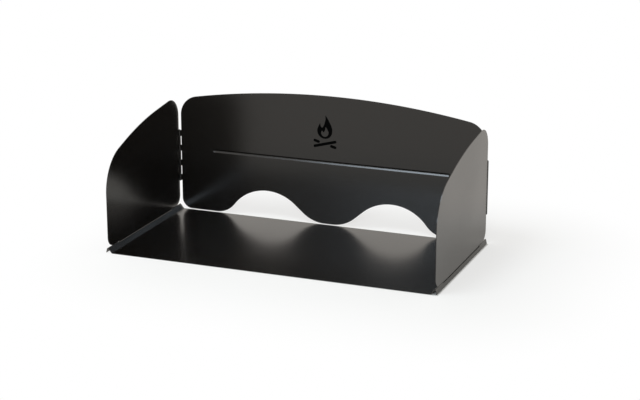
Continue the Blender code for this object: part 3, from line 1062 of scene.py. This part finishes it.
def closed_curve(points):
    """A closed smooth line through the given points."""
    count = len(points)
    line = []
    for i in range(count):
        before, start, end, after = (Vector(points[(i + k) % count]) for k in (-1, 0, 1, 2))
        slope = end - before
        bend = 2 * before - 5 * start + 4 * end - after
        swing = 3 * start - before - 3 * end + after
        for step in range(CURVE_STEPS):
            t = step / CURVE_STEPS
            line.append(0.5 * (2 * start + slope * t + bend * t * t + swing * t * t * t))
    return [tuple(p) for p in line]


def log_outline(tilt, start, end):
    """A round-ended bar along the tilted middle line, from start to end."""
    half = LOG_THICKNESS / 2
    right = arc((end - half, 0), half, -math.pi / 2, math.pi / 2)
    left = arc((start + half, 0), half, math.pi / 2, 3 * math.pi / 2)
    turn = Matrix.Rotation(tilt, 2)
    bar = [turn @ Vector(p) for p in right + left]
    return [(p.x, p.y + LOG_DROP) for p in bar]


class WINDSCREEN_OT_print(bpy.types.Operator):
    """Prints a plain campfire on the back panel"""

    bl_idname = "windscreen.panel_print"
    bl_label = "Panel print"

    def execute(self, context):
        half = LOG_LENGTH / 2
        gap = (LOG_THICKNESS + LOG_GAP) / math.sin(2 * LOG_TILT) - LOG_THICKNESS / 2
        curve = bpy.data.curves.new("print_lines", "CURVE")
        curve.dimensions = "2D"
        curve.fill_mode = "BOTH"
        for loop in (
            closed_curve(FLAME),
            closed_curve(FLAME_HEART),
            log_outline(LOG_TILT, -half, half),
            log_outline(-LOG_TILT, -half, -gap),
            log_outline(-LOG_TILT, gap, half),
        ):
            spline = curve.splines.new("POLY")
            spline.points.add(len(loop) - 1)
            for target, (u, v) in zip(spline.points, loop):
                target.co = (PRINT_SCALE * u, PRINT_SCALE * v, 0, 1)
            spline.use_cyclic_u = True
        mesh = plain_mesh(add_object("print_lines", curve))
        turn = Matrix.Rotation(math.pi / 2, 4, "X")
        mesh.transform(Matrix.Translation((PRINT_X, PANEL_FACE, PRINT_Z)) @ turn)
        film = bmesh.new()
        film.from_mesh(mesh)
        raised = bmesh.ops.extrude_face_region(film, geom=film.faces[:], use_keep_orig=True)
        front = [item for item in raised["geom"] if isinstance(item, bmesh.types.BMVert)]
        bmesh.ops.translate(film, verts=front, vec=(0, -PRINT_THICKNESS, 0))
        bmesh.ops.recalc_face_normals(film, faces=film.faces)
        film.to_mesh(mesh)
        film.free()
        mesh.materials.clear()
        mesh.materials.append(print_ink())
        mark = add_object("campfire_print", mesh)
        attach(mark, "back_panel")
        return {"FINISHED"}


def seen_directly(tree):
    """1 for what the camera sees, directly, in a gloss or through glass, and 0 for plain light."""
    path = add_node(tree, "ShaderNodeLightPath", output=None)
    seen = maths("MAXIMUM", path["Is Camera Ray"], path["Is Glossy Ray"])
    return maths("MAXIMUM", seen, path["Is Transmission Ray"])


def background_white(tree):
    """Plain white to the camera, and a slightly warm white in a gloss."""
    glossy = add_node(tree, "ShaderNodeLightPath", output="Is Glossy Ray")
    return mix_colour(glossy, WHITE, GLOSS_WHITE)


def beyond(axis, half):
    """How far a place is beyond the given half width, along one axis."""
    return maths("MAXIMUM", minus(maths("ABSOLUTE", axis), half), 0.0)


def floor_paint(values):
    """Pale paint under the object, which turns to plain white away from it."""
    material = bpy.data.materials.new("pale_floor")
    material.use_nodes = True
    tree = material.node_tree
    tree.nodes.remove(tree.nodes["Principled BSDF"])
    paint = add_node(tree, "ShaderNodeBsdfDiffuse", {"Color": (*values.floor_colour, 1.0)})
    lit = {"Color": background_white(tree), "Strength": 1.0}
    white = add_node(tree, "ShaderNodeEmission", lit)
    axes = axes_of(add_node(tree, "ShaderNodeTexCoord", output="Object"))
    across = beyond(plus(axes["X"], -FLOOR_SHIFT), CAD_HIGH[0] - FLOOR_SHIFT)
    distance = length_of(vector(tree, across, beyond(axes["Y"], WING_REAR)))
    beside = mapped(distance, 0.0, FLOOR_RIM, end=values.floor_glow, kind="SMOOTHSTEP")
    glossy = add_node(tree, "ShaderNodeLightPath", output="Is Glossy Ray")
    beside = times(beside, maths("MULTIPLY_ADD", glossy, -values.gloss_shade, 1.0))
    away = mapped(distance, values.floor_near, values.floor_far, kind="SMOOTHSTEP")
    dark = times(minus(1.0, beside), minus(1.0, away))
    shown = times(seen_directly(tree), minus(1.0, dark))
    mixed = add_node(tree, "ShaderNodeMixShader", {0: shown, 1: paint, 2: white})
    feed(tree, tree.nodes["Material Output"], {"Surface": mixed})
    return material


class WINDSCREEN_OT_stage(bpy.types.Operator):
    """Sets up the pale floor, the soft light and the camera"""

    bl_idname = "windscreen.stage"
    bl_label = "Stage"

    def execute(self, context):
        values = context.scene.windscreen_stage
        self.floor(values)
        self.world(context.scene, values)
        for name in ("top", "front", "side"):
            parts = (getattr(values, f"{name}_{what}") for what in ("power", "size", "place"))
            self.softbox(f"{name}_softbox", *parts)
        self.camera(context.scene)
        context.scene.view_settings.view_transform = "Standard"
        return {"FINISHED"}

    def floor(self, values):
        """The wide, pale floor."""
        mesh = bpy.data.meshes.new("floor")
        shape = bmesh.new()
        bmesh.ops.create_grid(shape, x_segments=1, y_segments=1, size=FLOOR_SIZE)
        shape.to_mesh(mesh)
        shape.free()
        floor = add_object("floor", mesh)
        mesh.materials.append(floor_paint(values))

    def world(self, scene, values):
        """Soft light from all round, behind a white background."""
        world = scene.world = bpy.data.worlds.new("studio")
        world.use_nodes = True
        tree = world.node_tree
        tree.nodes.clear()
        ambient = {"Color": AMBIENT_COLOUR, "Strength": values.ambient}
        soft = add_node(tree, "ShaderNodeBackground", ambient)
        shown = {"Color": background_white(tree), "Strength": 1.0}
        white = add_node(tree, "ShaderNodeBackground", shown)
        inputs = {0: seen_directly(tree), 1: soft, 2: white}
        mixed = add_node(tree, "ShaderNodeMixShader", inputs)
        feed(tree, tree.nodes.new("ShaderNodeOutputWorld"), {"Surface": mixed})

    def softbox(self, name, power, size, place):
        """One softbox, turned to the object."""
        data = bpy.data.lights.new(name, "AREA")
        data.shape = "RECTANGLE"
        data.size, data.size_y = size
        data.energy = power
        data.color = LAMP_COLOUR
        lamp = add_object(name, data)
        lamp.location = place
        way = Vector(CAMERA_AIM) - lamp.location
        lamp.rotation_euler = way.to_track_quat("-Z", "Y").to_euler()

    def camera(self, scene):
        """The camera, placed as in the photograph."""
        data = bpy.data.cameras.new("camera")
        data.sensor_width = SENSOR
        data.lens = FOCAL_PIXELS * SENSOR / FRAME_WIDTH
        flat = -math.cos(CAMERA_ELEVATION)
        across, depth = flat * math.sin(CAMERA_AZIMUTH), flat * math.cos(CAMERA_AZIMUTH)
        back = Vector((across, depth, math.sin(CAMERA_ELEVATION)))
        right = (-back).cross(Vector((0, 0, 1))).normalized()
        up = right.cross(-back)
        place = Vector(CAMERA_AIM) + CAMERA_ACROSS * right + CAMERA_UP * up
        camera = add_object("camera", data)
        camera.location = place + CAMERA_DISTANCE * back
        camera.rotation_euler = Matrix((right, up, back)).transposed().to_euler()
        scene.camera = camera


class WINDSCREEN_PT_panel(bpy.types.Panel):
    """Lists the sizes, the finish and the buttons"""

    bl_idname = "WINDSCREEN_PT_panel"
    bl_label = "Windscreen"
    bl_space_type = "VIEW_3D"
    bl_region_type = "UI"
    bl_category = "Windscreen"

    def draw(self, context):
        for name, group in SETTINGS.items():
            box = self.layout.box()
            for field in group.__annotations__:
                box.prop(getattr(context.scene, name), field)
        for operator in OPERATORS:
            self.layout.operator(operator.bl_idname)


SETTINGS = {
    "windscreen_sizes": WindscreenSizes,
    "windscreen_coat": WindscreenCoat,
    "windscreen_stage": WindscreenStage,
}
OPERATORS = (
    WINDSCREEN_OT_base_plate,
    WINDSCREEN_OT_back_panel,
    WINDSCREEN_OT_wings,
    WINDSCREEN_OT_hinge_pins,
    WINDSCREEN_OT_print,
    WINDSCREEN_OT_stage,
)
CLASSES = (*SETTINGS.values(), *OPERATORS, WINDSCREEN_PT_panel)


def register():
    """Registers the classes and the scene's own settings."""
    for item in CLASSES:
        bpy.utils.register_class(item)
    for name, group in SETTINGS.items():
        setattr(bpy.types.Scene, name, bpy.props.PointerProperty(type=group))


def unregister():
    """Takes the settings and the classes away again."""
    for name in SETTINGS:
        delattr(bpy.types.Scene, name)
    for item in reversed(CLASSES):
        bpy.utils.unregister_class(item)


def main():
    """Builds every piece and the stage."""
    register()
    bpy.ops.windscreen.base_plate()
    bpy.ops.windscreen.back_panel()
    bpy.ops.windscreen.wings()
    bpy.ops.windscreen.hinge_pins()
    bpy.ops.windscreen.panel_print()
    bpy.ops.windscreen.stage()


if __name__ == "__main__":
    main()
